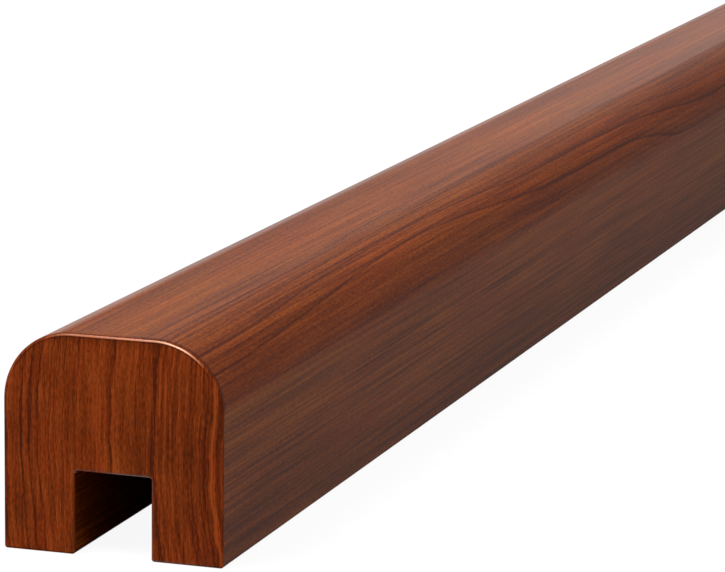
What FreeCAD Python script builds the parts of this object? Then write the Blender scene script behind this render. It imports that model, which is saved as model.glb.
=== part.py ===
# Straight length of hardwood stair handrail, with one groove run along its underside.
# Millimetres. X is across the rail, Y along its length and Z up. The origin is at the middle of the
# length, under the centre of the section, on the plane of the two soles that the rail stands on.

import FreeCAD, Part
import math
import os

import Sketcher
from FreeCAD import Vector

# Geometry and point numbers that a sketch uses for its own axes and for the ends of its lines and arcs.
HORIZONTAL_AXIS, VERTICAL_AXIS = -1, -2
START, END = 1, 2
TOUCH = 0.01  # how near an edge lies to the plane that it is looked for on
WASTE = 1.0  # cubic mm that a cut may differ by from its sizes multiplied out

# Driving sizes. The section is measured at the end face, and an arris is the eased edge between two faces.
SIZES = {
    "rail_length": (1200, "stock length, end face to end face"),
    "rail_width": (60, "across the flat sides"),
    "rail_height": (58, "soles to the flat of the top"),
    "shoulder_radius": (18.5, "rounding between the flat top and each side"),
    "groove_width": (21, "clear width between the two legs"),
    "groove_depth": (22, "soles to the ceiling of the groove"),
    "groove_corner_radius": (1.0, "left in the groove's ceiling corners by the cutter"),
    "arris_radius": (0.8, "sanded on every sharp edge: both ends, the soles and the groove's mouths"),
}

doc = FreeCAD.newDocument("stair_handrail")


def make_sheet():
    """The driving sizes, one row each: what it is, its value under its own alias, and a note."""
    sheet = doc.addObject("Spreadsheet::Sheet", "sizes")
    for row, (alias, (value, note)) in enumerate(SIZES.items(), start=1):
        sheet.set(f"A{row}", alias)
        sheet.set(f"B{row}", str(value))
        sheet.set(f"C{row}", note)
        sheet.setAlias(f"B{row}", alias)
    return sheet


sheet = make_sheet()
doc.recompute()

length, width, height = sheet.rail_length, sheet.rail_width, sheet.rail_height
shoulder = sheet.shoulder_radius
groove_width, groove_depth = sheet.groove_width, sheet.groove_depth

rail = doc.addObject("PartDesign::Body", "handrail")
section_plane = next(f for f in rail.Origin.OriginFeatures if f.Role == "XZ_Plane")


def section_sketch(name):
    """An empty sketch on the rail's cross-section plane: its x runs across the rail and its y up."""
    sketch = rail.newObject("Sketcher::SketchObject", name)
    sketch.AttachmentSupport = (section_plane, [""])
    sketch.MapMode = "FlatFace"
    return sketch


def line(sketch, a, b):
    return sketch.addGeometry(Part.LineSegment(Vector(*a, 0), Vector(*b, 0)), False)


def quarter_arc(sketch, centre, radius, quadrant):
    """A quarter circle, from its quadrant's first axis on round anticlockwise."""
    circle = Part.Circle(Vector(*centre, 0), Vector(0, 0, 1), radius)
    first = quadrant * math.pi / 2
    return sketch.addGeometry(Part.ArcOfCircle(circle, first, first + math.pi / 2), False)


def tie(sketch, kind, *where):
    return sketch.addConstraint(Sketcher.Constraint(kind, *where))


def size(sketch, name, kind, *where_and_value, expression):
    """A dimension of the sketch that takes its value from the sheet."""
    index = tie(sketch, kind, *where_and_value)
    sketch.renameConstraint(index, name)
    sketch.setExpression(f"Constraints.{name}", expression)


# Outer profile: flat sides, a flat top and a quarter-round shoulder between them on either side.
profile = section_sketch("outer_profile")
sole = line(profile, (-width / 2, 0), (width / 2, 0))
right_side = line(profile, (width / 2, 0), (width / 2, height - shoulder))
right_shoulder = quarter_arc(profile, (width / 2 - shoulder, height - shoulder), shoulder, 0)
top = line(profile, (width / 2 - shoulder, height), (shoulder - width / 2, height))
left_shoulder = quarter_arc(profile, (shoulder - width / 2, height - shoulder), shoulder, 1)
left_side = line(profile, (-width / 2, height - shoulder), (-width / 2, 0))

tie(profile, "Coincident", sole, END, right_side, START)
tie(profile, "Tangent", right_side, END, right_shoulder, START)
tie(profile, "Tangent", right_shoulder, END, top, START)
tie(profile, "Tangent", top, END, left_shoulder, START)
tie(profile, "Tangent", left_shoulder, END, left_side, START)
tie(profile, "Coincident", left_side, END, sole, START)
tie(profile, "Horizontal", top)
tie(profile, "Vertical", right_side)
tie(profile, "Vertical", left_side)
tie(profile, "Equal", right_shoulder, left_shoulder)
tie(profile, "PointOnObject", sole, START, HORIZONTAL_AXIS)
tie(profile, "Symmetric", sole, START, sole, END, VERTICAL_AXIS)
size(profile, "width", "DistanceX", sole, START, sole, END, width, expression="sizes.rail_width")
size(profile, "height", "DistanceY", sole, START, top, START, height, expression="sizes.rail_height")
size(profile, "shoulder", "Radius", right_shoulder, shoulder, expression="sizes.shoulder_radius")

# The moulded blank: the profile run out evenly to both sides of the section plane.
blank = rail.newObject("PartDesign::Pad", "moulded_blank")
blank.Profile = profile
blank.SideType = "Symmetric"
blank.setExpression("Length", "sizes.rail_length")
doc.recompute()
blank_volume = rail.Shape.Volume

# Groove: one square channel up the middle of the underside, from end to end.
channel = section_sketch("groove_profile")
mouth = line(channel, (-groove_width / 2, 0), (groove_width / 2, 0))
right_wall = line(channel, (groove_width / 2, 0), (groove_width / 2, groove_depth))
ceiling = line(channel, (groove_width / 2, groove_depth), (-groove_width / 2, groove_depth))
left_wall = line(channel, (-groove_width / 2, groove_depth), (-groove_width / 2, 0))

tie(channel, "Coincident", mouth, END, right_wall, START)
tie(channel, "Coincident", right_wall, END, ceiling, START)
tie(channel, "Coincident", ceiling, END, left_wall, START)
tie(channel, "Coincident", left_wall, END, mouth, START)
tie(channel, "Horizontal", ceiling)
tie(channel, "Vertical", right_wall)
tie(channel, "Vertical", left_wall)
tie(channel, "PointOnObject", mouth, START, HORIZONTAL_AXIS)
tie(channel, "Symmetric", mouth, START, mouth, END, VERTICAL_AXIS)
size(channel, "width", "DistanceX", mouth, START, mouth, END, groove_width,
     expression="sizes.groove_width")
size(channel, "depth", "DistanceY", right_wall, START, right_wall, END, groove_depth,
     expression="sizes.groove_depth")

groove = rail.newObject("PartDesign::Pocket", "groove")
groove.Profile = channel
groove.SideType = "Symmetric"
groove.setExpression("Length", "sizes.rail_length")
doc.recompute()
cut_volume = blank_volume - rail.Shape.Volume
if abs(cut_volume - groove_width * groove_depth * length) > WASTE:
    raise RuntimeError(f"the groove takes {cut_volume:.0f} cubic mm out of the blank")


def edges_where(test):
    """Names of the body's edges that pass a test on the edge's own box."""
    found = [f"Edge{i}" for i, e in enumerate(rail.Shape.Edges, start=1) if test(e.BoundBox)]
    if not found:
        raise RuntimeError("no edge lies where a rounding is wanted")
    return found


def near(value, wanted):
    return abs(value - wanted) < TOUCH


def runs_along(box):
    return box.YLength > length / 2


def on_end_face(box):
    return near(box.YLength, 0) and near(abs(box.Center.y), length / 2)


def in_groove(box):
    return max(-box.XMin, box.XMax) < groove_width / 2 + TOUCH and box.ZMax < groove_depth + TOUCH


def round_edges(name, edges, alias):
    """Rounds the named edges of the body as it stands, to a radius from the sheet."""
    unrounded = rail.Tip
    rounding = rail.newObject("PartDesign::Fillet", name)
    rounding.Base = (unrounded, edges)
    rounding.setExpression("Radius", f"sizes.{alias}")
    doc.recompute()


# Corners between the groove's walls and its ceiling.
round_edges(
    "groove_corners",
    edges_where(lambda b: runs_along(b) and in_groove(b) and near(b.ZMin, groove_depth)),
    "groove_corner_radius",
)

# Arrises: round each end face, up, over and down the groove's mouth in it, and along both edges of each sole.
round_edges(
    "arrises",
    edges_where(lambda b: on_end_face(b) or (runs_along(b) and near(b.ZMax, 0))),
    "arris_radius",
)

for thing in doc.Objects:
    if {"Invalid", "Error"} & set(thing.State):
        raise RuntimeError(f"{thing.Label} did not build: {thing.State}")
shape = rail.Shape
if shape.isNull() or not shape.isValid() or len(shape.Solids) != 1:
    raise RuntimeError("the handrail is not one valid solid")

os.makedirs("parts", exist_ok=True)
shape.exportStep(f"parts/{rail.Label}.step")
box = shape.optimalBoundingBox()
print(f"{rail.Label}: {box.XLength:.2f} x {box.YLength:.2f} x {box.ZLength:.2f} mm,"
      f" {shape.Volume / 1e3:.1f} cubic cm, {len(shape.Faces)} faces")
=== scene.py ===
# One straight length of stained and lacquered hardwood stair handrail, grooved underneath, on a pale floor.
# Metres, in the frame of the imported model: X across the rail, Y along it and Z up from the floor.
import math

import bmesh
import bpy
from mathutils import Matrix, Vector


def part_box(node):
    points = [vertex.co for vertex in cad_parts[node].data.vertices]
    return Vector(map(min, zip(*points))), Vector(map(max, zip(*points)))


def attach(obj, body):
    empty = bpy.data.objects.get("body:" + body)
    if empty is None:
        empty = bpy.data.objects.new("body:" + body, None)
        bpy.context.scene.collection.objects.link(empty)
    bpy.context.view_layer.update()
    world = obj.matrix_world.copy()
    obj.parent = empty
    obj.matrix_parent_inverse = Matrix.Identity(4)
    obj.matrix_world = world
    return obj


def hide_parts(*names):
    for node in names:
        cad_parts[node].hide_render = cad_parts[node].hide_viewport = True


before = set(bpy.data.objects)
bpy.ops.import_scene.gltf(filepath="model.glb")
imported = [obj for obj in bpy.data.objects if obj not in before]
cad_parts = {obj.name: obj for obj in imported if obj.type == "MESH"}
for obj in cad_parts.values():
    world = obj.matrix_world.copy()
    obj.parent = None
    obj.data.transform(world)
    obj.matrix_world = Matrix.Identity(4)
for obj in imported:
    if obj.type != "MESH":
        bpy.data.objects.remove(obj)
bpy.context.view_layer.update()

# Moulded rail: one piece of hardwood, planed square, run over a moulder that rounds its two shoulders and
# over a square cutter that leaves the groove underneath, then sawn square at both ends. Every sharp edge is
# sanded to a small arris, so that stain and lacquer hold on it.
MM = 0.001
low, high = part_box("handrail")
WIDTH, LENGTH, HEIGHT = high - low
SHOULDER_RADIUS = 18.5 * MM
GROOVE_HALF_WIDTH = 10.5 * MM
GROOVE_DEPTH = 22 * MM
GROOVE_CORNER_RADIUS = 1.0 * MM
ARRIS = 0.8 * MM
SHOULDER_STEPS, CORNER_STEPS, ARRIS_STEPS = 28, 6, 6
ROUND = 0.5  # the profile that makes a bevel an arc
SHARP, FLAT = math.radians(40), math.radians(1)
HAIR = 0.02 * MM  # how near a point lies to the plane that it is looked for on

bpy.ops.object.select_all(action="DESELECT")
bpy.ops.mesh.primitive_cube_add(size=1, location=(0, 0, HEIGHT / 2), scale=(WIDTH, LENGTH, HEIGHT))
rail = bpy.context.object
rail.name = rail.data.name = "moulded_rail"
bpy.ops.object.transform_apply(location=True, rotation=True, scale=True)
bpy.ops.object.mode_set(mode="EDIT")
bpy.context.tool_settings.mesh_select_mode = (False, True, False)


def select_only(kind, test):
    """Selects the faces or edges of the mesh in edit mode that pass a test, and nothing else."""
    bpy.ops.mesh.select_all(action="DESELECT")
    bpy.ops.mesh.select_mode(type="FACE" if kind == "faces" else "EDGE")
    mesh = bmesh.from_edit_mesh(rail.data)
    for element in getattr(mesh, kind):
        element.select_set(test(element))
    bmesh.update_edit_mesh(rail.data)


def in_groove(point):
    return abs(point.x) < GROOVE_HALF_WIDTH + HAIR and point.z < GROOVE_DEPTH + HAIR


def all_in_groove(element):
    return all(in_groove(v.co) for v in element.verts)


def lengthwise(edge):
    a, b = (v.co for v in edge.verts)
    return abs(a.y - b.y) > LENGTH / 2


def at_height(edge, z):
    return all(abs(v.co.z - z) < HAIR for v in edge.verts)


def sharp(edge):
    return len(edge.link_faces) == 2 and edge.calc_face_angle() > SHARP


# The groove: its outline is cut into the blank, the faces inside it go, and its walls and ceiling are
# run through from one end face to the other.
for point, normal in (
    ((-GROOVE_HALF_WIDTH, 0, 0), (1, 0, 0)),
    ((GROOVE_HALF_WIDTH, 0, 0), (1, 0, 0)),
    ((0, 0, GROOVE_DEPTH), (0, 0, 1)),
):
    bpy.ops.mesh.select_all(action="SELECT")
    bpy.ops.mesh.bisect(plane_co=point, plane_no=normal)
select_only("faces", all_in_groove)
bpy.ops.mesh.delete(type="FACE")
select_only("edges", lambda e: e.is_boundary and not lengthwise(e))
bpy.ops.mesh.bridge_edge_loops()
bpy.ops.mesh.select_all(action="SELECT")
bpy.ops.mesh.dissolve_limited(angle_limit=FLAT)
bpy.ops.mesh.normals_make_consistent(inside=False)

# The shoulders and the corners that the cutter leaves under the ceiling, then the arrises.
select_only("edges", lambda e: lengthwise(e) and at_height(e, HEIGHT))
bpy.ops.mesh.bevel(offset=SHOULDER_RADIUS, segments=SHOULDER_STEPS, profile=ROUND)
select_only("edges", lambda e: lengthwise(e) and at_height(e, GROOVE_DEPTH))
bpy.ops.mesh.bevel(offset=GROOVE_CORNER_RADIUS, segments=CORNER_STEPS, profile=ROUND)
select_only("edges", sharp)
bpy.ops.mesh.bevel(offset=ARRIS, segments=ARRIS_STEPS, profile=ROUND)
bpy.ops.object.mode_set(mode="OBJECT")

# Wear, a painted highlight and lacquer. Each end's top corner is rubbed through to paler wood, and that pale
# colour is also a painted highlight, most where the right shoulder starts.
# Lacquer is thick there, on the left shoulder and in a bead over the groove's mouth and down its right. It is
# thin where the left shoulder starts, on the right and on the soles, and the groove has none. Places are in mm.
HALF_LENGTH = LENGTH / 2 / MM
TOP_EDGE = (WIDTH / 2 - SHOULDER_RADIUS) / MM
SHOULDER_FOOT = (HEIGHT - SHOULDER_RADIUS) / MM
MOUTH_SIDE, MOUTH_TOP = (GROOVE_HALF_WIDTH + ARRIS + HAIR) / MM, (GROOVE_DEPTH + ARRIS + HAIR) / MM
# Where a place begins and where it is in full, across the rail or up it.
RUBBED_AND_LIT_ACROSS, RUBBED_AND_LIT_UP, RUBBED_AND_LIT_MOST = (-19, -11), (51.6, 56), (9, 16)
LEFT_START, LEFT_SHOULDER = (-16, -14), (-14, -17.2)
RIGHT_SHOULDER, RIGHT_SIDE = (58, 52), (43, 40)
RUBBED_AND_LIT_DEPTH, SOLE_TOP = 0.2, 0.7  # in from the end face, and up from the floor
LEAST_RUBBED_AND_LIT = 0.45  # how bare the corner is, and how bright its painted highlight, left of where both are most
# The coat's thickness against an even one, then what a place adds to it, at the near and at the far end.
BEAD, EVEN, ON_SOLE, BARE, ON_RUBBED_AND_LIT = 6, 1, 0.4, 0, 18
ON_LEFT_START, ON_LEFT_SHOULDER = (-0.4, -0.1), (1.15, 0.45)
ON_RIGHT_SHOULDER, ON_RIGHT_SIDE = (-0.33, -0.55), (0.15, 0.05)


def between(value, start, end):
    """How far a value has gone from a start to an end, held to nought and one."""
    return min(max((value - start) / (end - start), 0), 1)


rubbed_edge_and_highlight = rail.data.attributes.new("rubbed_edge_and_highlight", "FLOAT", "POINT")
lacquer_build = rail.data.attributes.new("lacquer_build", "FLOAT", "POINT")
for vertex in rail.data.vertices:
    x, y, z = vertex.co / MM
    end = int(y > 0)
    from_end = HALF_LENGTH - abs(y)
    on_face = from_end < HAIR / MM
    on_arris = not on_face and from_end < (ARRIS - HAIR) / MM
    over_mouth = abs(x) < MOUTH_SIDE and GROOVE_DEPTH / MM - 0.5 < z < MOUTH_TOP
    right_of_mouth = GROOVE_HALF_WIDTH / MM - 0.1 < x < MOUTH_SIDE and z < GROOVE_DEPTH / MM

    # How rubbed the corner is, which is also where its painted highlight lies.
    rub_and_highlight = 0
    if on_arris and from_end < RUBBED_AND_LIT_DEPTH:
        rub_and_highlight = between(x, *RUBBED_AND_LIT_ACROSS) * between(z, *RUBBED_AND_LIT_UP)
        rub_and_highlight *= LEAST_RUBBED_AND_LIT + (1 - LEAST_RUBBED_AND_LIT) * between(x, *RUBBED_AND_LIT_MOST)
    build = EVEN + ON_RUBBED_AND_LIT * rub_and_highlight
    if x < -TOP_EDGE - 0.5 and z > SHOULDER_FOOT + 0.5:
        build += ON_LEFT_START[end] * between(x, *LEFT_START)
        build += ON_LEFT_SHOULDER[end] * between(x, *LEFT_SHOULDER)
    if x > TOP_EDGE - 0.5:
        build += ON_RIGHT_SHOULDER[end] * between(z, *RIGHT_SHOULDER)
        build += ON_RIGHT_SIDE[end] * between(z, *RIGHT_SIDE)
    if on_face:
        build = EVEN
    elif on_arris and (over_mouth or right_of_mouth):
        build = BEAD
    elif in_groove(vertex.co):
        build = BARE
    elif z < SOLE_TOP:
        build = ON_SOLE
    rubbed_edge_and_highlight.data[vertex.index].value = rub_and_highlight
    lacquer_build.data[vertex.index].value = build

bpy.ops.object.shade_smooth_by_angle(angle=SHARP)
flat_faces_stay_flat = rail.modifiers.new("flat_faces_stay_flat", "WEIGHTED_NORMAL")
flat_faces_stay_flat.keep_sharp = True
bpy.ops.object.modifier_apply(modifier=flat_faces_stay_flat.name)

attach(rail, "root")
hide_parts("handrail")


def linear(hex_colour):
    """An sRGB colour written as six hex digits, as the linear colour that a shader takes."""
    parts = [int(hex_colour[i : i + 2], 16) / 255 for i in (0, 2, 4)]
    return [c / 12.92 if c <= 0.04045 else ((c + 0.055) / 1.055) ** 2.4 for c in parts] + [1]


def node(tree, kind, inputs=None, **settings):
    """Adds a node with its own settings, and links each input to a node or socket, or sets its value."""
    made = tree.nodes.new(kind)
    for name, value in settings.items():
        setattr(made, name, value)
    for name, value in (inputs or {}).items():
        taker = made.inputs[name] if isinstance(name, int) else next(
            i for i in made.inputs if i.enabled and i.name == name)
        if isinstance(value, bpy.types.Node):
            value = next(o for o in value.outputs if o.enabled)
        if isinstance(value, bpy.types.NodeSocket):
            tree.links.new(value, taker)
        else:
            taker.default_value = value
    return made


# Cherry-stained hardwood under satin lacquer: a red-brown ground with darker growth rings, fine straight
# streaks along the grain and a thin clear coat that greys it at a glancing angle and lights up its arrises.
timber = bpy.data.materials.new("stained_hardwood")
timber.use_nodes = True
tree = timber.node_tree
shader = tree.nodes["Principled BSDF"]
in_metres = node(tree, "ShaderNodeTexCoord").outputs["Object"]
place = node(tree, "ShaderNodeVectorMath", {0: in_metres, "Scale": 1 / MM}, operation="SCALE")
across, along, up = node(tree, "ShaderNodeSeparateXYZ", {0: place}).outputs

# Over the arris, the grain of the long faces turns into that of the ends.
past_middle = node(tree, "ShaderNodeMath", {0: along}, operation="ABSOLUTE")
on_end = node(tree, "ShaderNodeMapRange", {
    "Value": past_middle, "From Min": HALF_LENGTH - 0.9, "From Max": HALF_LENGTH - 0.3})
off_end = node(tree, "ShaderNodeMath", {0: 1.0, 1: on_end}, operation="SUBTRACT")
up_on_shoulders = node(tree, "ShaderNodeMapRange", {"Value": up, "From Min": 38, "From Max": 43},
                       interpolation_type="SMOOTHSTEP")

# The rings stand nearly upright in the section, bow a little with height, and swing sideways along each
# shoulder, where the cut runs out through them in long arches. Slow noise, given by its width, length and
# height and by its reach, keeps them from running straight.
ARCH_SPACING, ARCH_SWING = 760, 5.1
BOW_HEIGHT, BOW = 32, -0.0022
ring = across
for side, tip_along in ((1, -428), (-1, -40)):
    turned = node(tree, "ShaderNodeMath", {0: along, 1: tip_along}, operation="SUBTRACT")
    turned = node(tree, "ShaderNodeMath", {0: turned, 1: 2 * math.pi / ARCH_SPACING}, operation="MULTIPLY")
    turned = node(tree, "ShaderNodeMath", {0: turned}, operation="COSINE")
    squared = node(tree, "ShaderNodeMath", {0: turned, 1: turned}, operation="MULTIPLY")
    arch = node(tree, "ShaderNodeMath", {0: squared, 1: turned}, operation="MULTIPLY")
    out_there = node(tree, "ShaderNodeMapRange", {
        "Value": across, "From Min": 11 * side, "From Max": 23 * side, "To Max": ARCH_SWING * side},
        interpolation_type="SMOOTHSTEP")
    swing = node(tree, "ShaderNodeMath", {0: arch, 1: out_there}, operation="MULTIPLY")
    ring = node(tree, "ShaderNodeMath", {0: swing, 1: up_on_shoulders, 2: ring}, operation="MULTIPLY_ADD")
bow = node(tree, "ShaderNodeMath", {0: up, 1: BOW_HEIGHT}, operation="SUBTRACT")
bow = node(tree, "ShaderNodeMath", {0: bow, 1: bow}, operation="MULTIPLY")
ring = node(tree, "ShaderNodeMath", {0: bow, 1: BOW, 2: ring}, operation="MULTIPLY_ADD")
for size, reach in (((30, 300, 30), 1.5), ((9, 80, 14), 1.2), ((4, 60, 5), 0.3)):
    sway = node(tree, "ShaderNodeVectorMath", {0: place, 1: size}, operation="DIVIDE")
    sway = node(tree, "ShaderNodeTexNoise", {"Vector": sway, "Scale": 1, "Detail": 1})
    sway = node(tree, "ShaderNodeMath", {0: sway, 1: 0.5}, operation="SUBTRACT")
    ring = node(tree, "ShaderNodeMath", {0: sway, 1: reach, 2: ring}, operation="MULTIPLY_ADD")
wander = node(tree, "ShaderNodeVectorMath", {0: place, 1: (7, 80, 10)}, operation="DIVIDE")
wander = node(tree, "ShaderNodeTexNoise", {"Vector": wander, "Scale": 1, "Detail": 2})
wander = node(tree, "ShaderNodeMapRange", {"Value": wander, "To Min": -1.0, "To Max": 1.0})
ring = node(tree, "ShaderNodeMath", {0: wander, 1: on_end, 2: ring}, operation="MULTIPLY_ADD")

# Growth rings about 4.7 mm apart. Each one darkens softly towards its late wood and ends in a thin dark line,
# and they show most in the outer wood, where the shoulders cut through them.
RING_WIDTH, FIRST_RING = 4.7, 21.7
step = node(tree, "ShaderNodeMath", {0: ring, 1: FIRST_RING}, operation="SUBTRACT")
in_ring = node(tree, "ShaderNodeMath", {0: step, 1: RING_WIDTH}, operation="FLOORED_MODULO")
from_line = node(tree, "ShaderNodeMath", {0: step, 1: RING_WIDTH / 2}, operation="PINGPONG")
dark_line = node(tree, "ShaderNodeMapRange", {
    "Value": from_line, "From Min": 0.08, "From Max": 0.42, "To Min": 1, "To Max": 0},
    interpolation_type="SMOOTHSTEP")
late_wood = node(tree, "ShaderNodeMapRange", {
    "Value": in_ring, "From Min": 1.5, "From Max": RING_WIDTH, "To Max": 0.6},
    interpolation_type="SMOOTHSTEP")
late_wood = node(tree, "ShaderNodeMath", {0: dark_line, 1: late_wood}, operation="ADD")
from_heart = node(tree, "ShaderNodeMath", {0: ring}, operation="ABSOLUTE")
outer_wood = node(tree, "ShaderNodeMapRange", {
    "Value": from_heart, "From Min": 14, "From Max": 21, "To Min": 0.15})
last_wood = node(tree, "ShaderNodeMapRange", {
    "Value": from_heart, "From Min": 27.2, "From Max": 28.4, "To Min": 1, "To Max": 0.15})
ring_weight = node(tree, "ShaderNodeMath", {0: outer_wood, 1: last_wood}, operation="MULTIPLY")
late_wood = node(tree, "ShaderNodeMath", {0: late_wood, 1: ring_weight}, operation="MULTIPLY")

# Fine lines about 0.9 mm apart within the rings, clearest on the shoulders, with a few thin dark ones in
# between. Paler and darker bands of wood lie over several rings; their pale band along the middle of the top is
# a painted highlight. The ends have a streak of pale sapwood on the right.
fine_lines = node(tree, "ShaderNodeTexNoise", {"W": ring, "Scale": 1.1, "Detail": 4, "Roughness": 0.7},
                  noise_dimensions="1D")
thin_lines = node(tree, "ShaderNodeTexNoise", {"W": ring, "Scale": 1 / 2, "Detail": 1, "Roughness": 0.5},
                  noise_dimensions="1D")
thin_lines = node(tree, "ShaderNodeMapRange", {"Value": thin_lines, "From Min": 0.36, "From Max": 0.43})


def set_stops(ramp, stops):
    """Gives a colour ramp its stops, from left to right, each a place from nought to one and a colour."""
    elements = ramp.color_ramp.elements
    elements.remove(elements[1])
    for index, (position, colour) in enumerate(stops):
        stop = elements.new(position) if index else elements[0]
        stop.position, stop.color = position, colour


EDGE = 30
from_left = node(tree, "ShaderNodeMapRange", {"Value": ring, "From Min": -EDGE, "From Max": EDGE})
# Across the top the bands are palest in the middle: a painted highlight.
bands = node(tree, "ShaderNodeValToRGB", {"Fac": from_left})
end_bands = node(tree, "ShaderNodeValToRGB", {"Fac": from_left})
for ramp, levels in (
    (bands, (
        (-30, 0.45), (-20, 0.42), (-11, 0.28), (-5, 0.41), (0, 0.49), (6, 0.31), (12, 0.25), (19, 0.4),
        (23, 0.48), (25.4, 0.6), (26.8, 0.46), (30, 0.55),
    )),
    (end_bands, (
        (-30, 0.5), (-26, 0.42), (-22, 0.5), (-17, 0.5), (-14.5, 0.44), (-11, 0.5), (5, 0.5), (10, 0.42),
        (16, 0.5), (19, 0.33), (25, 0.32), (26.9, 0.42), (27.2, 1.0), (27.4, 1.0), (27.7, 0.4), (30, 0.4),
    )),
):
    ramp.color_ramp.interpolation = "EASE"
    set_stops(ramp, [((x + EDGE) / (2 * EDGE), (level, level, level, 1)) for x, level in levels])


# Fibre streaks 1 mm wide run along the grain, with flecks under half a millimetre wide in them and broad soft
# clouds over them. On the ends they all stand upright.
def grain(name_of_pattern, long_size, end_size, detail, roughness, shift=0):
    """Noise of one width, length and height on the long faces, where it may be shifted, and one on the ends."""
    long_way = node(tree, "ShaderNodeVectorMath", {0: place, 1: [1 / mm for mm in long_size], 2: (0, shift, 0)},
                    operation="MULTIPLY_ADD")
    end_way = node(tree, "ShaderNodeVectorMath", {0: place, 1: end_size}, operation="DIVIDE")
    way = node(tree, "ShaderNodeMix", {"Factor": on_end, "A": long_way, "B": end_way}, data_type="VECTOR")
    return node(tree, "ShaderNodeTexNoise", {
        "Vector": way, "Scale": 1, "Detail": detail, "Roughness": roughness}, label=name_of_pattern)


streaks = grain("streaks", (1, 125, 1), (1 / 1.1, 100, 25), 4, 0.7, shift=3.0)
flecks = grain("flecks", (1 / 2.4, 2.5, 1 / 2.4), (1 / 2.2, 5, 1 / 0.6), 2, 0.6)
clouds = grain("clouds", (14, 90, 14), (7, 90, 16), 2, 0.5)

# The fine lines come and go from place to place, and lines and streaks are calmer towards the middle of the
# rail. Each pattern has its own strength on the long faces and on the ends.
calmer = node(tree, "ShaderNodeMapRange", {
    "Value": past_middle, "From Min": 100, "From Max": HALF_LENGTH - 200, "To Min": 0.7})
patchy = node(tree, "ShaderNodeMapRange", {
    "Value": clouds, "From Min": 0.3, "From Max": 0.7, "To Min": 0.4, "To Max": 1.6})
long_lines = node(tree, "ShaderNodeMapRange", {
    "Value": from_heart, "From Min": 6, "From Max": 10, "To Min": 0.3, "To Max": 0.75})
for factor in (last_wood, calmer, patchy):
    long_lines = node(tree, "ShaderNodeMath", {0: long_lines, 1: factor}, operation="MULTIPLY")
end_lines = node(tree, "ShaderNodeMath", {0: patchy, 1: 1.2}, operation="MULTIPLY")
long_streaks = node(tree, "ShaderNodeMapRange", {
    "Value": up, "From Min": 34, "From Max": 46, "To Min": 2.5, "To Max": 1.9})
long_streaks = node(tree, "ShaderNodeMath", {0: long_streaks, 1: calmer}, operation="MULTIPLY")
PLAIN_WOOD = 0.57
ring_depth = node(tree, "ShaderNodeMapRange", {"Value": on_end, "To Min": -0.33, "To Max": -0.25})
tone = node(tree, "ShaderNodeMath", {0: late_wood, 1: ring_depth, 2: PLAIN_WOOD}, operation="MULTIPLY_ADD")
for pattern, long_depth, end_depth in (
    (fine_lines, long_lines, end_lines), (thin_lines, 0.08, 0.3), (bands, 1.0, 0.5), (end_bands, 0, 1),
    (streaks, long_streaks, 1.7), (flecks, 1.1, 1.3), (clouds, 0.4, 0.6),
):
    depth = node(tree, "ShaderNodeMapRange", {"Value": on_end, "To Min": long_depth, "To Max": end_depth})
    centred = node(tree, "ShaderNodeMath", {0: pattern, 1: 0.5}, operation="SUBTRACT")
    tone = node(tree, "ShaderNodeMath", {0: centred, 1: depth, 2: tone}, operation="MULTIPLY_ADD")

# The ends are darker under their top edge and in a dark line inside the arris over the shoulders and the top.
# Stain gathers on them in a belt half way up that is darkest on the left, and painted shade lies inside the
# left arris, where it turns from the light.
BELT_HEIGHT, BELT_REACH = 31, 9
RIM = (SHOULDER_RADIUS - ARRIS) / MM  # from a shoulder's centre out to where its arris starts
top_edge = node(tree, "ShaderNodeMapRange", {
    "Value": up, "From Min": 54.5, "From Max": 57.4, "To Max": -0.25})
from_belt = node(tree, "ShaderNodeMath", {0: up, 1: BELT_HEIGHT}, operation="SUBTRACT")
from_belt = node(tree, "ShaderNodeMath", {0: from_belt}, operation="ABSOLUTE")
belt_depth = node(tree, "ShaderNodeMapRange", {
    "Value": across, "From Min": -22, "From Max": -28, "To Min": -0.05, "To Max": -0.22})
belt = node(tree, "ShaderNodeMapRange", {
    "Value": from_belt, "From Max": BELT_REACH, "To Min": belt_depth, "To Max": 0},
    interpolation_type="SMOOTHSTEP")
# Painted shade inside the end's left arris.
left_edge = node(tree, "ShaderNodeMapRange", {
    "Value": across, "From Min": -28.6, "From Max": -29.4, "To Max": -0.35})
past_centres = node(tree, "ShaderNodeVectorMath", {0: place}, operation="ABSOLUTE")
past_centres = node(tree, "ShaderNodeVectorMath", {
    0: past_centres, 1: (TOP_EDGE, HALF_LENGTH, SHOULDER_FOOT)}, operation="SUBTRACT")
past_centres = node(tree, "ShaderNodeVectorMath", {0: past_centres, 1: (0, 0, 0)}, operation="MAXIMUM")
from_centres = node(tree, "ShaderNodeVectorMath", {0: past_centres}, operation="LENGTH")
dark_rim = node(tree, "ShaderNodeMapRange", {
    "Value": from_centres, "From Min": RIM - 0.5, "From Max": RIM - 0.1, "To Max": -0.4})
off_arris = node(tree, "ShaderNodeMapRange", {
    "Value": from_centres, "From Min": RIM - 0.04, "From Max": RIM + 0.06, "To Min": 1, "To Max": 0})
over_top = node(tree, "ShaderNodeMapRange", {"Value": up, "From Min": 44, "From Max": 50})
for limit in (off_arris, over_top):
    dark_rim = node(tree, "ShaderNodeMath", {0: dark_rim, 1: limit}, operation="MULTIPLY")
for gathered in (top_edge, belt, left_edge, dark_rim):
    tone = node(tree, "ShaderNodeMath", {0: gathered, 1: on_end, 2: tone}, operation="MULTIPLY_ADD")

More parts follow.
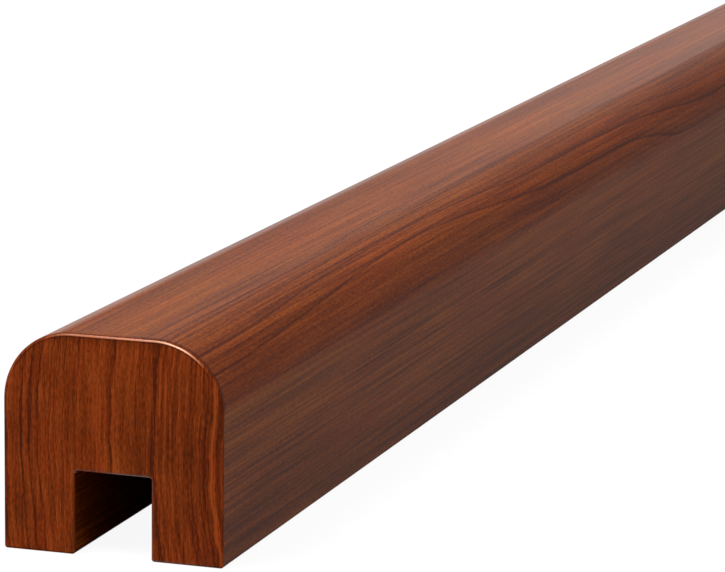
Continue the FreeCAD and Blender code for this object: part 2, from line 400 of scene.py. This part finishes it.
# The long faces carry painted shade towards the soles and on the right shoulder, and the right of the top is
# darker just beside the arris. The bare walls of the groove carry painted shade, darker the deeper they are.
# Painted shade, darker towards the soles.
shade_towards_soles = node(tree, "ShaderNodeMapRange", {
    "Value": up, "From Min": 4, "From Max": 38, "To Min": -0.2, "To Max": -0.03})
beside_arris = node(tree, "ShaderNodeMapRange", {
    "Value": past_middle, "From Min": HALF_LENGTH - 2.4, "From Max": HALF_LENGTH - 1.0, "To Max": -0.5})
right_half = node(tree, "ShaderNodeMapRange", {"Value": across, "From Min": -3, "From Max": 9})
for limit in (up_on_shoulders, right_half):
    beside_arris = node(tree, "ShaderNodeMath", {0: beside_arris, 1: limit}, operation="MULTIPLY")
for gathered in (shade_towards_soles, beside_arris):
    tone = node(tree, "ShaderNodeMath", {0: gathered, 1: off_end, 2: tone}, operation="MULTIPLY_ADD")
right_shoulder = node(tree, "ShaderNodeMapRange", {"Value": across, "From Min": 15, "From Max": 24},
                      interpolation_type="SMOOTHSTEP")
for limit in (up_on_shoulders, off_end):
    right_shoulder = node(tree, "ShaderNodeMath", {0: right_shoulder, 1: limit}, operation="MULTIPLY")
# Painted shade on the right shoulder.
tone = node(tree, "ShaderNodeMath", {0: right_shoulder, 1: -0.1, 2: tone}, operation="MULTIPLY_ADD")
build = node(tree, "ShaderNodeAttribute", attribute_name="lacquer_build").outputs["Fac"]
# Painted shade in the groove, darker the deeper into it.
groove_shade_by_depth = node(tree, "ShaderNodeMapRange", {
    "Value": up, "From Min": 1, "From Max": 12, "To Min": 0.15, "To Max": -0.25})
groove_shade = node(tree, "ShaderNodeMapRange", {"Value": build, "From Max": 0.5, "To Min": groove_shade_by_depth, "To Max": 0})
tone = node(tree, "ShaderNodeMath", {0: tone, 1: groove_shade}, operation="ADD")
long_stain = node(tree, "ShaderNodeValToRGB", {"Fac": tone})
set_stops(long_stain, ((0.0, linear("4B1E06")), (0.5, linear("753708")), (1.0, linear("944E14"))))
end_stain = node(tree, "ShaderNodeValToRGB", {"Fac": tone})
set_stops(end_stain, ((0.0, linear("431703")), (0.5, linear("6B2905")), (1.0, linear("8D3E13"))))
colour = node(tree, "ShaderNodeMix", {"Factor": on_end, "A": long_stain, "B": end_stain}, data_type="RGBA")

# The wood takes the stain redder in some places and browner in others, and reddest on the right shoulder.
hue = grain("hue", (12, 70, 12), (5, 70, 9), 2, 0.5)
hue = node(tree, "ShaderNodeMapRange", {
    "Value": hue, "From Min": 0.35, "From Max": 0.65, "To Min": -0.5, "To Max": 0.5})
redness = node(tree, "ShaderNodeMath", {0: hue, 1: right_shoulder}, operation="ADD")
redness = node(tree, "ShaderNodeMapRange", {"Value": redness, "From Min": -0.7, "From Max": 1.0})
tint = node(tree, "ShaderNodeMix", {"Factor": redness, "A": (0.98, 1.03, 1.03, 1), "B": (1.0, 0.8, 0.76, 1)},
            data_type="RGBA")
colour = node(tree, "ShaderNodeMix", {"Factor": 1.0, "A": colour, "B": tint}, data_type="RGBA",
              blend_type="MULTIPLY")

# Rubbed edges show the bare wood, palest where they are rubbed most, and this pale colour is also a painted
# highlight.
rubbed_and_lit = node(tree, "ShaderNodeAttribute", attribute_name="rubbed_edge_and_highlight").outputs["Fac"]
bare_edge_and_highlight = node(tree, "ShaderNodeMath", {0: rubbed_and_lit, 1: 1.15}, operation="MULTIPLY", use_clamp=True)
bare_wood_and_highlight = node(tree, "ShaderNodeMapRange", {"Value": rubbed_and_lit, "From Min": 0.55, "From Max": 1.0})
bare_wood_and_highlight = node(tree, "ShaderNodeMix", {"Factor": bare_wood_and_highlight, "A": linear("DB8759"), "B": linear("F4C6A4")},
                 data_type="RGBA")
colour = node(tree, "ShaderNodeMix", {"Factor": bare_edge_and_highlight, "A": colour, "B": bare_wood_and_highlight}, data_type="RGBA")
tree.links.new(next(o for o in colour.outputs if o.enabled), shader.inputs["Base Color"])

# Satin lacquer: most of the shine is its own, thinner on the ends, over wood that is matt and a little rough.
coat = node(tree, "ShaderNodeMapRange", {"Value": on_end, "To Min": 0.165, "To Max": 0.085})
coat = node(tree, "ShaderNodeMath", {0: coat, 1: build}, operation="MULTIPLY", use_clamp=True)
tree.links.new(coat.outputs[0], shader.inputs["Coat Weight"])
fibre = node(tree, "ShaderNodeMapRange", {"Value": flecks, "To Min": 0.56, "To Max": 0.44})
tree.links.new(fibre.outputs[0], shader.inputs["Roughness"])
raised_grain = node(tree, "ShaderNodeBump", {"Height": tone, "Strength": 0.25, "Distance": 0.02 * MM})
tree.links.new(raised_grain.outputs[0], shader.inputs["Normal"])
shader.inputs["Specular IOR Level"].default_value = 0.0
shader.inputs["Coat Roughness"].default_value = 0.12
rail.data.materials.append(timber)

# Floor: a plain pale sheet, wide enough to fill every view. Seen straight or in the lacquer it is white
# but for the rail's faint shadow, and it throws back little light of its own.
FLOOR_SIZE = 60
SHADOW_STRENGTH = 0.08
bpy.ops.object.select_all(action="DESELECT")
bpy.ops.mesh.primitive_plane_add(size=FLOOR_SIZE, location=(0, 0, -HAIR))
floor = bpy.context.object
floor.name = "floor"


def seen_directly(tree):
    """One for rays from the camera and for those by reflection or through glass, and nought for the rest."""
    light_path = node(tree, "ShaderNodeLightPath")
    seen = node(tree, "ShaderNodeMath", {
        0: light_path.outputs["Is Camera Ray"], 1: light_path.outputs["Is Glossy Ray"]}, operation="MAXIMUM")
    return node(tree, "ShaderNodeMath", {0: seen, 1: light_path.outputs["Is Transmission Ray"]},
                operation="MAXIMUM")


paper = bpy.data.materials.new("pale_floor")
paper.use_nodes = True
tree = paper.node_tree
tree.nodes.clear()
seen = seen_directly(tree)
bounce = node(tree, "ShaderNodeBsdfDiffuse", {"Color": linear("A0A0A0")})
shaded = node(tree, "ShaderNodeBsdfDiffuse", {"Color": linear("FFFFFF")})
white = node(tree, "ShaderNodeEmission", {"Color": linear("FFFFFF"), "Strength": 1.0})
pale = node(tree, "ShaderNodeMixShader", {0: SHADOW_STRENGTH, 1: white, 2: shaded})
both = node(tree, "ShaderNodeMixShader", {0: seen, 1: bounce, 2: pale})
node(tree, "ShaderNodeOutputMaterial", {"Surface": both})
floor.data.materials.append(paper)

# Studio: a white surround that gives a soft even light of well under full strength, two broad soft lamps
# overhead, of which the right one draws the bright line on the top arris, a weak fill in front that the
# lacquer doesn't mirror, and a low panel far behind on the left.
SURROUND_STRENGTH = 0.3
NEAR_END = Vector((0, -LENGTH / 2, HEIGHT / 2))
world = bpy.data.worlds.new("studio")
bpy.context.scene.world = world
world.use_nodes = True
tree = world.node_tree
tree.nodes.clear()
level = node(tree, "ShaderNodeMapRange", {
    "Value": seen_directly(tree), "To Min": SURROUND_STRENGTH, "To Max": 1.0})
sky = node(tree, "ShaderNodeBackground", {"Color": linear("FFFFFF"), "Strength": level})
node(tree, "ShaderNodeOutputWorld", {"Surface": sky})


def softbox(name, place, size, radiance, mirrored):
    """An area lamp that faces the rail's near end, as bright as given over its whole face and never seen."""
    lamp = bpy.data.lights.new(name, "AREA")
    lamp.shape = "RECTANGLE"
    lamp.size, lamp.size_y = size
    lamp.energy = radiance * math.pi * size[0] * size[1]
    holder = bpy.data.objects.new(name, lamp)
    bpy.context.scene.collection.objects.link(holder)
    holder.location = NEAR_END + Vector(place)
    holder.rotation_euler = Vector(place).to_track_quat("Z", "Y").to_euler()
    holder.visible_camera = False
    holder.visible_glossy = mirrored


softbox("overhead_left", (-1.35, -0.9, 3.0), (2.4, 1.6), 11.0, mirrored=True)
softbox("overhead_right", (0.75, -1.05, 3.0), (1.5, 0.8), 11.0, mirrored=True)
softbox("front_fill", (-0.6, -3.0, 0.8), (2.0, 2.0), 1.5, mirrored=False)
softbox("back_panel", (-3.8, 6.9, 0.6), (6.4, 1.1), 0.8, mirrored=True)

# Camera: it stands to the right of the near end and looks down along the rail.
PHOTO_WIDTH = 725
FOCAL_PIXELS = 3819.1
TURN, TIP, LEAN = 18.0147, 11.0121, 0.6957
RIGHT_OF_MIDDLE, BEFORE_END, ABOVE_FLOOR = 0.35196, 0.87837, 0.25545
camera_data = bpy.data.cameras.new("camera")
camera_data.sensor_width = 36
camera_data.lens = camera_data.sensor_width * FOCAL_PIXELS / PHOTO_WIDTH
camera = bpy.data.objects.new("camera", camera_data)
bpy.context.scene.collection.objects.link(camera)
camera.location = (RIGHT_OF_MIDDLE, -LENGTH / 2 - BEFORE_END, ABOVE_FLOOR)
camera.rotation_euler = (
    Matrix.Rotation(math.radians(TURN), 3, "Z")
    @ Matrix.Rotation(math.radians(90 - TIP), 3, "X")
    @ Matrix.Rotation(math.radians(LEAN), 3, "Z")
).to_euler()
bpy.context.scene.camera = camera
bpy.context.scene.view_settings.view_transform = "Standard"
